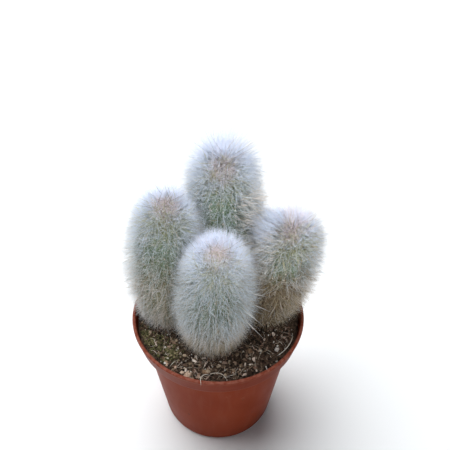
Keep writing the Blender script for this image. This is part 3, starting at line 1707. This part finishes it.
    def tints(self, coat: Coat, roots: Roots, stream: np.random.Generator) -> Array:
        """Choose the colour of each strand.

        Args:
            coat: The kind of hair.
            roots: Where the strands grow.
            stream: Source of random draws.

        Returns:
            One place for each strand on HAIR's scale.
        """
        form, rise, to_tip, normal = self.form, roots.rise, roots.to_tip, roots.normal
        scatter = stream.normal(0.0, 1.0, len(rise))
        if coat.fixed_tint is not None:
            return np.clip(coat.fixed_tint + 0.045 * scatter, 0.01, 0.99)
        facing = 0.55 + 0.45 * (normal @ np.array([*form.brown_side, 0.0]))
        share = np.sin(rise * math.pi / 2)
        old = form.brown * smooth_step(form.brown_top, form.brown_top - 0.35, share) * facing
        old = np.clip(old, 0.0, 1.0)
        tint = GREEN_WHITE + 0.08 * smooth_step(0.3, 0.9, rise) + coat.tint_shift - 0.40 * old
        tint = tint - 0.26 * (stream.uniform(size=len(rise)) < 0.04 + 0.20 * form.brown ** 2)
        crown = smooth_step(*GROOMING.crown_range, normal[:, 2])
        crown = crown * (1.0 - 0.8 * smooth_step(0.1, 0.5, -normal[:, 1]))
        tint = tint + (BLUE_WHITE + 0.05 * form.brown ** 3 - tint) * crown
        tint = tint + (PINKISH_BROWN - tint) * smooth_step(*GROOMING.wool, to_tip)
        golden = smooth_step(*GROOMING.golden_start, to_tip) * smooth_step(*GROOMING.golden_end, to_tip)
        golden = golden * smooth_step(*GROOMING.golden_range, normal @ np.array(GROOMING.front))
        golden = golden * GROOMING.golden_share * form.brown_top
        unlike = 0.03 + 0.08 * old * (1.0 - crown)
        tint = np.where(stream.uniform(size=len(rise)) < golden, GOLDEN_GREEN, tint + unlike * scatter)
        return np.clip(tint, 0.01, 0.995)

    def cleared(self, tip: Array) -> Array:
        """Keep the strands' ends off the other stems, the pot's wall and the soil.

        Args:
            tip: Where the strands end.

        Returns:
            Where they end clear of them.
        """
        form = self.form
        tip = tip.copy()
        height = tip[:, 2] - STEM_GROUND
        middle = form.middle(height)
        for other in self.others:
            across = other.middle(height) - middle
            gap = np.linalg.norm(across, axis=1)
            across = across / gap[:, None]
            limit = gap * form.radius / (form.radius + other.radius) + GROOMING.mingling
            excess = np.einsum("ij,ij->i", tip - middle, across) - limit
            excess[height > other.height + other.crown_hair] = 0.0
            tip = tip - across * np.clip(excess, 0.0, None)[:, None]
        spread = np.hypot(tip[:, 0], tip[:, 1])
        wall = POT.collar_inner_radius(SOIL_EDGE_HEIGHT) - self.clearance
        inside = (tip[:, 2] < POT.height + self.clearance) & (spread > wall)
        tip[inside, :2] *= (wall / spread[inside])[:, None]
        low = tip[:, 2] < STEM_GROUND + 3.0 * MM
        tip[low, 2] = np.maximum(tip[low, 2], soil_heights(tip[low]) + self.clearance)
        return tip


# Soil

class Moundings(Enum):
    """Sizes of the noise that roughens the soil's top, as (pattern size, height)."""

    CLODS = (4.2 * MM, 0.75 * MM)
    CRUMBS = (1.7 * MM, 0.50 * MM)


@dataclass(frozen=True)
class SoilBed:
    """The peat, what lies on it and what grows in it.

    Attributes:
        seed: Start of its random draws.
        rings: Corners from its middle to its edge.
        steps: Corners about it.
        clear_of_wall: Gap between its fibres and the pot's wall.
        crumbs: How many crumbs of peat lie on it.
        grains: How many pale grains of grit.
        flakes: How many flakes of bark are drawn, before most at the back are left out.
        moss: How many grains of moss are drawn.
        fibres: How many fibres of peat.
        patches: Rows of x, y and size of the mossy patches.
        patch_shares: Share of the moss that each patch has.
    """

    seed: int = 5
    rings: int = 72
    steps: int = 220
    clear_of_wall: float = 0.8 * MM
    crumbs: int = 2300
    grains: int = 300
    flakes: int = 900
    moss: int = 900
    fibres: int = 700
    patches: tuple[tuple[float, float, float], ...] = (
        (-37.5 * MM, -21.0 * MM, 9.0 * MM), (-27.0 * MM, -28.3 * MM, 6.0 * MM),
        (-43.5 * MM, -12.0 * MM, 5.0 * MM), (-33.0 * MM, 30.0 * MM, 8.0 * MM),
    )
    patch_shares: tuple[float, ...] = (0.45, 0.25, 0.15, 0.15)

    @property
    def edge(self) -> float:
        """Radius of the soil's top."""
        return POT.collar_inner_radius(SOIL_EDGE_HEIGHT) - GAP

    def top(self, x: float, y: float) -> float:
        """Return the height of the soil's crumbly top.

        Args:
            x: Place across.
            y: Place along.

        Returns:
            The height over the floor.
        """
        height = soil_height(x, y)
        fade = 1.0 - max(0.0, math.hypot(x, y) / self.edge - 0.97) / 0.03
        for kind in Moundings:
            size, amount = kind.value
            height += fade * amount * noise.noise(Vector((x, y, 3.0 * size)) / size)
        return height

    def build(self) -> None:
        """Build the soil and everything that lies on it."""
        self.build_bed()
        self.build_crumbs()
        self.build_grit()
        self.build_flakes()
        self.build_chips()
        self.build_moss()
        self.build_fibres()

    def build_bed(self) -> None:
        """Turn the soil's half section and roughen its top."""
        top = [(self.edge * ring / self.rings, SOIL_EDGE_HEIGHT) for ring in range(self.rings + 1)]
        side = [(max(0.0, radius - GAP), height + GAP) for radius, height in POT.inside()]
        mesh = turned_mesh("soil_bed", top + side, self.steps)
        for vertex in mesh.vertices:
            if vertex.co.z > SOIL_EDGE_HEIGHT - GAP:
                vertex.co.z = self.top(vertex.co.x, vertex.co.y)
        set_smooth(mesh, True)
        mesh.set_sharp_from_angle(angle=math.radians(50.0))
        add_piece("soil_bed", mesh, PeatFinish().material(), "soil")

    def scatter(self, count: int, stream: np.random.Generator, margin: float) -> Array:
        """Return random places on the soil, clear of the stems and the pot's wall.

        Args:
            count: How many places.
            stream: Source of random draws.
            margin: Least distance to the wall.

        Returns:
            Rows of x, y and the soil's height there.
        """
        found = np.empty((0, 2))
        while len(found) < count:
            spots = stream.uniform(-self.edge, self.edge, (4 * count, 2))
            good = np.hypot(spots[:, 0], spots[:, 1]) < self.edge - margin
            for form in STEMS:
                foot = np.hypot(*(spots - np.array(form.base)).T)
                good &= foot > form.radius * FOOT_SHARE * 0.9
            found = np.concatenate([found, spots[good]])
        found = found[:count]
        return np.column_stack([found, [self.top(x, y) for x, y in found]])

    def build_crumbs(self) -> None:
        """Strew crumbs of peat over the whole top."""
        stream = np.random.default_rng(self.seed)
        places = self.scatter(self.crumbs, stream, 1.4 * MM)
        size = 0.50 * MM + 1.10 * MM * stream.power(0.45, len(places))
        places[:, 2] += 0.15 * size
        sizes = size[:, None] * stream.uniform(0.45, 1.0, (len(places), 3))
        shaded = smooth_step(4.0 * MM, 26.0 * MM, places[:, 0])
        tint = stream.beta(0.48, 0.80, len(places)) * (1.0 - 0.45 * shaded)
        mesh = lumps_mesh(Lump.BALL, places, sizes, tint, 0.28, stream)
        set_smooth(mesh, False)
        add_piece("peat_crumbs", mesh, CRUMB.material(), "soil")

    def build_grit(self) -> None:
        """Strew pale grains of grit, and set the few larger ones that stand out."""
        stream = np.random.default_rng(self.seed + 1)
        places = self.scatter(self.grains, stream, 1.5 * MM)
        size = 0.28 * MM + 0.55 * MM * stream.power(0.5, len(places))
        sizes = size[:, None] * stream.uniform(0.6, 1.0, (len(places), 3))
        places[:, 2] += 0.5 * size
        mesh = lumps_mesh(Lump.BLOCK, places, sizes, stream.uniform(0.0, 1.0, len(places)), 0.2, stream)
        set_smooth(mesh, False)
        add_piece("pale_grit", mesh, GRIT.material(), "soil")

    def build_flakes(self) -> None:
        """Strew flat flakes of bark and wood, mostly at the front, where they were washed clean."""
        stream = np.random.default_rng(self.seed + 6)
        places = self.scatter(self.flakes, stream, 2.2 * MM)
        share = 0.25 + 0.55 * smooth_step(0.0, -35.0 * MM, places[:, 1])
        places = places[stream.uniform(size=len(places)) < share]
        size = 0.6 * MM + 1.3 * MM * stream.power(0.5, len(places))
        sizes = size[:, None] * np.array([1.0, 0.55, 0.22]) * stream.uniform(0.7, 1.2, (len(places), 3))
        places[:, 2] += 0.35 * size
        mesh = lumps_mesh(Lump.BLOCK, places, sizes, stream.beta(0.9, 1.0, len(places)), 0.22, stream)
        set_smooth(mesh, False)
        add_piece("bark_flakes", mesh, FLAKE.material(), "soil")

    def build_chips(self) -> None:
        """Set the larger chips of wood and stone where they lie on the soil."""
        stream = np.random.default_rng(self.seed + 2)
        cream = BarkFinish("cream_chip", (0.62, 0.47, 0.36), (0.42, 0.27, 0.19))
        tan = BarkFinish("tan_chip", (0.36, 0.24, 0.15), (0.18, 0.10, 0.06))
        white = BarkFinish("white_chip", (0.80, 0.76, 0.72), (0.60, 0.52, 0.47))
        kinds = {
            "cream_chips": (cream, ((-17.1, -42.2, 3.2, 2.0, 0.9), (-20.5, -41.0, 1.5, 1.1, 0.6),
                                    (-24.5, -37.5, 1.3, 0.9, 0.5), (-29.5, -36.0, 1.1, 0.8, 0.5),
                                    (3.0, -38.0, 1.2, 0.8, 0.4), (9.5, -34.5, 1.4, 0.7, 0.4),
                                    (-1.0, -43.0, 1.0, 0.7, 0.4), (12.5, -39.5, 1.2, 0.6, 0.4))),
            "tan_chips": (tan, ((18.5, -26.9, 2.2, 1.6, 0.7), (-7.5, -40.9, 1.9, 1.5, 0.6),
                                (-30.0, -33.5, 1.6, 1.0, 0.5), (13.0, -36.5, 1.3, 1.0, 0.5),
                                (8.5, -40.5, 1.5, 0.8, 0.5), (36.5, 22.0, 2.0, 1.3, 0.7),
                                (-12.0, 40.0, 2.4, 1.4, 0.7), (20.0, 42.0, 1.8, 1.2, 0.6))),
            "white_chips": (white, ((34.4, -25.4, 1.5, 1.3, 1.0), (27.8, -38.1, 1.4, 0.7, 0.6),
                                    (-38.5, 22.0, 1.3, 1.1, 0.8))),
        }
        for name, (finish, chips) in kinds.items():
            rows = np.array(chips) * MM
            rest = np.array([self.top(x, y) for x, y in rows[:, :2]])
            places = np.column_stack([rows[:, :2], rest + 0.6 * rows[:, 4]])
            swarm = Swarm(Lump.BLOCK.template(), len(rows))
            local = swarm.places + stream.uniform(-0.16, 0.16, swarm.places.shape)
            turn = stream.uniform(0.0, math.tau, len(rows))
            local = local * rows[:, None, 2:5]
            c, s = np.cos(turn)[:, None], np.sin(turn)[:, None]
            x, y, z = local[..., 0], local[..., 1], local[..., 2]
            local = np.stack([c * x - s * y, s * x + c * y, z + 0.2 * x], axis=-1)
            swarm.mesh.vertices.foreach_set("co", (places[:, None] + local).astype(np.float32).ravel())
            swarm.mesh.update()
            add_piece(name, swarm.mesh, finish.material(), "soil")

    def build_moss(self) -> None:
        """Grow the low mossy patch at the front left, of small grains and short blades."""
        stream = np.random.default_rng(self.seed + 3)
        patch = np.array(self.patches)[stream.choice(len(self.patches), self.moss, p=self.patch_shares)]
        spots = patch[:, :2] + stream.normal(0.0, 0.45, (self.moss, 2)) * patch[:, 2:3]
        inside = np.hypot(spots[:, 0], spots[:, 1]) < self.edge - 1.0 * MM
        for form in STEMS:
            inside &= np.hypot(*(spots - np.array(form.base)).T) > form.radius * FOOT_SHARE
        spots = spots[inside]
        places = np.column_stack([spots, [self.top(x, y) for x, y in spots]])
        size = stream.uniform(0.35, 0.95, len(places)) * MM
        mesh = lumps_mesh(Lump.BALL, places + np.array([0.0, 0.0, 0.2 * MM]),
                          size[:, None] * stream.uniform(0.6, 1.0, (len(places), 3)),
                          stream.beta(1.6, 1.8, len(places)), 0.25, stream)
        add_piece("moss_grains", mesh, MOSS.material(), "soil")

    def build_fibres(self) -> None:
        """Strew fibres of peat over the soil, and set the few long ones."""
        stream = np.random.default_rng(self.seed + 4)
        count = self.fibres
        root = self.scatter(count, stream, 3.0 * MM)
        turn = stream.uniform(0.0, math.tau, count)
        length = stream.uniform(2.5, 8.0, count) * MM
        lift = stream.uniform(0.0, 0.25, count)
        aim = np.column_stack([np.cos(turn), np.sin(turn), lift]) * length[:, None]
        sag = stream.normal(0.0, 0.25, (count, 3)) * length[:, None]
        strands = Strands(root, aim, sag, stream.uniform(0.16, 0.44, count) * MM,
                          stream.beta(0.8, 0.9, count))
        tip = strands.tip
        spread = np.hypot(tip[:, 0], tip[:, 1])
        far = spread > self.edge - self.clear_of_wall
        tip[far, :2] *= ((self.edge - self.clear_of_wall) / spread[far])[:, None]
        raised = stream.uniform(0.2, 1.0, count) * MM
        tip[:, 2] = [self.top(x, y) + up for (x, y), up in zip(tip[:, :2], raised)]
        strands.bend_to(tip)
        strands.root[:, 2] += 0.3 * MM
        add_piece("peat_fibres", strands.mesh(Build.HAIR, 0.25), FIBRE.material(), "soil")
        self.build_rootlets()

    def build_rootlets(self) -> None:
        """Lay the few long pale fibres that stand out, each as an arc from end to end."""
        rows = np.array([
            # from x, y; to x, y; bow x, y; lift; width; tint
            (44.8, -15.0, 33.5, -30.4, 1.6, -1.6, 1.2, 0.55, 0.95),
            (-4.7, -42.2, 4.9, -47.4, 1.5, 1.8, 1.2, 0.42, 0.90),
            (-10.2, -46.4, -3.6, -44.0, -1.0, 1.5, 1.6, 0.35, 0.95),
            (17.0, -40.0, 23.5, -36.0, 0.5, 1.0, 1.0, 0.35, 0.55),
            (11.5, -43.5, 14.5, -38.0, 0.5, 0.0, 1.4, 0.32, 0.70),
            (-24.5, -38.0, -21.0, -33.5, 0.8, 0.0, 1.0, 0.35, 0.75),
            (24.0, -30.0, 30.5, -27.0, 0.0, 1.4, 1.2, 0.32, 0.50),
            (-40.0, -25.5, -35.0, -29.5, 0.0, 0.8, 1.0, 0.30, 0.80),
        ])
        start, end, bow = rows[:, 0:2] * MM, rows[:, 2:4] * MM, rows[:, 4:6] * MM
        root = np.column_stack([start, [self.top(x, y) + 0.3 * MM for x, y in start]])
        tip = np.column_stack([end, [self.top(x, y) + 0.4 * MM for x, y in end]])
        push = np.column_stack([bow, rows[:, 6] * MM]) * 4.0
        width, tint = np.append(rows[:, 7] * 1.25, 0.40) * MM, np.append(rows[:, 8], 0.95)
        over_lip = np.array([(-10.2, -46.2, 82.8), (-9.5, -53.0, 84.6), (0.0, 0.0, 12.8)]) * MM
        root, tip, push = (np.vstack(pair) for pair in zip((root, tip, push), over_lip))
        strands = Strands(root, tip - root + push, -push, width, tint)
        add_piece("rootlets", strands.mesh(Build.FIBRE, 0.25), FIBRE.material(), "soil")


# Studio

def hang(name: str, data: bpy.types.Light, aim: Vector, away: Vector) -> None:
    """Hang a light, turned to a point.

    Args:
        name: Name of its object.
        data: The light.
        aim: The point.
        away: Way from the point to the light.
    """
    lamp = bpy.data.objects.new(name, data)
    lamp.location = aim + away
    lamp.rotation_euler = away.to_track_quat("Z", "Y").to_euler()
    bpy.context.scene.collection.objects.link(lamp)


@dataclass(frozen=True)
class SoftLight:
    """One wide, far and so even light.

    Attributes:
        name: Its name.
        azimuth: Degrees about Z from +X at which it stands.
        elevation: Degrees above the floor.
        spread: How wide it looks, in degrees.
        strength: How bright it is.
        colour: Its colour.
    """

    name: str
    azimuth: float
    elevation: float
    spread: float
    strength: float
    colour: Colour

    def build(self) -> None:
        """Hang the light, turned to the object."""
        data = bpy.data.lights.new(self.name, "SUN")
        data.angle = math.radians(self.spread)
        data.energy = self.strength
        data.color = self.colour
        hang(self.name, data, Vector(), toward(self.azimuth, self.elevation))


@dataclass(frozen=True)
class TopLight:
    """One soft, narrow light on the upper half of the object, clear of the floor's shadow.

    Attributes:
        name: Its name.
        aim: The point it is turned to.
        azimuth: Degrees about Z from +X at which it stands.
        elevation: Degrees above that point.
        distance: Distance from that point.
        reach: Radius of the spot that it lights there.
        size: Its radius.
        power: Its power in watts.
        colour: Its colour.
    """

    name: str = "top_light"
    aim: tuple[float, float, float] = (13.0 * MM, 23.0 * MM, 142.0 * MM)
    azimuth: float = 284.0
    elevation: float = 46.0
    distance: float = 0.9
    reach: float = 86.0 * MM
    size: float = 0.055
    power: float = 31.0
    colour: Colour = (0.98, 0.99, 1.0)

    def build(self) -> None:
        """Hang the light and turn it to what it is aimed at."""
        data = bpy.data.lights.new(self.name, "SPOT")
        data.spot_size = 2.0 * math.atan(self.reach / self.distance)
        data.spot_blend = 1.0
        data.shadow_soft_size = self.size
        data.energy = self.power
        data.color = self.colour
        away = toward(self.azimuth, self.elevation) * self.distance
        hang(self.name, data, Vector(self.aim), away)


@dataclass(frozen=True)
class Studio:
    """The pale floor, the soft light and the camera.

    Attributes:
        camera_place: Where the camera stands.
        pitch: Degrees by which it looks down.
        turn: Degrees by which it looks aside.
        lens: Focal length, in millimetres.
        sensor: Width of its sensor, in millimetres.
        floor_size: Side of the floor.
        zenith: Colour of the room's light from above.
        horizon: Colour of the room's light from the sides.
        backdrop: Colour behind the floor, as the camera sees it.
        room_strength: How bright the room's light is.
        backdrop_strength: How bright the backdrop looks.
        lights: The wide lights.
    """

    camera_place: tuple[float, float, float] = (0.0, -243.75 * MM, 364.44 * MM)
    pitch: float = 40.58
    turn: float = 0.644
    lens: float = 47.656
    sensor: float = 36.0
    floor_size: float = 6.0
    zenith: Colour = (0.80, 0.89, 1.0)
    horizon: Colour = (0.84, 0.88, 0.92)
    backdrop: Colour = (1.0, 1.0, 1.0)
    room_strength: float = 0.10
    backdrop_strength: float = 1.0
    lights: tuple[SoftLight, ...] = (
        SoftLight("key", 132.0, 62.0, 70.0, 4.05, (0.965, 0.985, 1.0)),
        SoftLight("fill", 262.0, 8.0, 40.0, 0.65, (0.95, 0.98, 1.0)),
    )

    def build(self) -> None:
        """Build the floor, the lights, the world and the camera."""
        self.build_floor()
        for light in (*self.lights, TopLight()):
            light.build()
        self.build_world()
        self.build_camera()
        bpy.context.scene.view_settings.view_transform = "Standard"

    def build_floor(self) -> None:
        """Lay one wide plain floor just under the pot."""
        shape = bmesh.new()
        bmesh.ops.create_grid(shape, x_segments=2, y_segments=2, size=self.floor_size / 2)
        mesh = bpy.data.meshes.new("floor")
        shape.to_mesh(mesh)
        shape.free()
        material, wiring, shader = new_material("pale_floor", 0.8, 0.1)
        cloud = SharedGroup.MOTTLE.use(wiring, "Mask", vector=wiring.place(), scale=3.0, detail=2.0,
                                       low=0.2, high=0.8)
        colour = wiring.mix(cloud, (0.915, 0.92, 0.92), (0.93, 0.935, 0.935))
        wiring.feed(shader.inputs["Base Color"], colour)
        mesh.materials.append(material)
        floor = bpy.data.objects.new("floor", mesh)
        bpy.context.scene.collection.objects.link(floor)

    def build_world(self) -> None:
        """Fill the room with even, cool light, before a backdrop as pale as the floor."""
        world = bpy.data.worlds.new("room")
        world.use_nodes = True
        wiring = Wiring(world.node_tree)
        direction = wiring.add("ShaderNodeTexCoord").outputs["Generated"]
        height = wiring.add("ShaderNodeSeparateXYZ", inputs={"Vector": direction}).outputs["Z"]
        colour = wiring.mix(wiring.range(height, 0.1, 0.8), self.horizon, self.zenith)
        seen = wiring.add("ShaderNodeLightPath").outputs["Is Camera Ray"]
        strength = wiring.range(seen, 0.0, 1.0, self.room_strength, self.backdrop_strength)
        background = world.node_tree.nodes["Background"]
        wiring.feed(background.inputs["Strength"], strength)
        wiring.feed(background.inputs["Color"], wiring.mix(seen, colour, self.backdrop))
        bpy.context.scene.world = world

    def build_camera(self) -> None:
        """Set the camera where the photograph was taken from."""
        data = bpy.data.cameras.new("camera")
        data.lens = self.lens
        data.sensor_width = self.sensor
        data.clip_start = 0.01
        data.clip_end = 20.0
        camera = bpy.data.objects.new("camera", data)
        tilt = Matrix.Rotation(math.radians(90.0 - self.pitch), 4, "X")
        pan = Matrix.Rotation(-math.radians(self.turn), 4, "Y")
        camera.matrix_world = Matrix.Translation(self.camera_place) @ tilt @ pan
        bpy.context.scene.collection.objects.link(camera)
        bpy.context.scene.camera = camera


def main() -> None:
    """Build the pot, the soil, the stems and the studio."""
    logging.basicConfig(level=logging.INFO, format="%(name)s %(message)s")
    POT.build()
    SoilBed().build()
    for form in STEMS:
        HairyStem(form, tuple(other for other in STEMS if other is not form)).build()
    Studio().build()


if __name__ == "__main__":
    main()
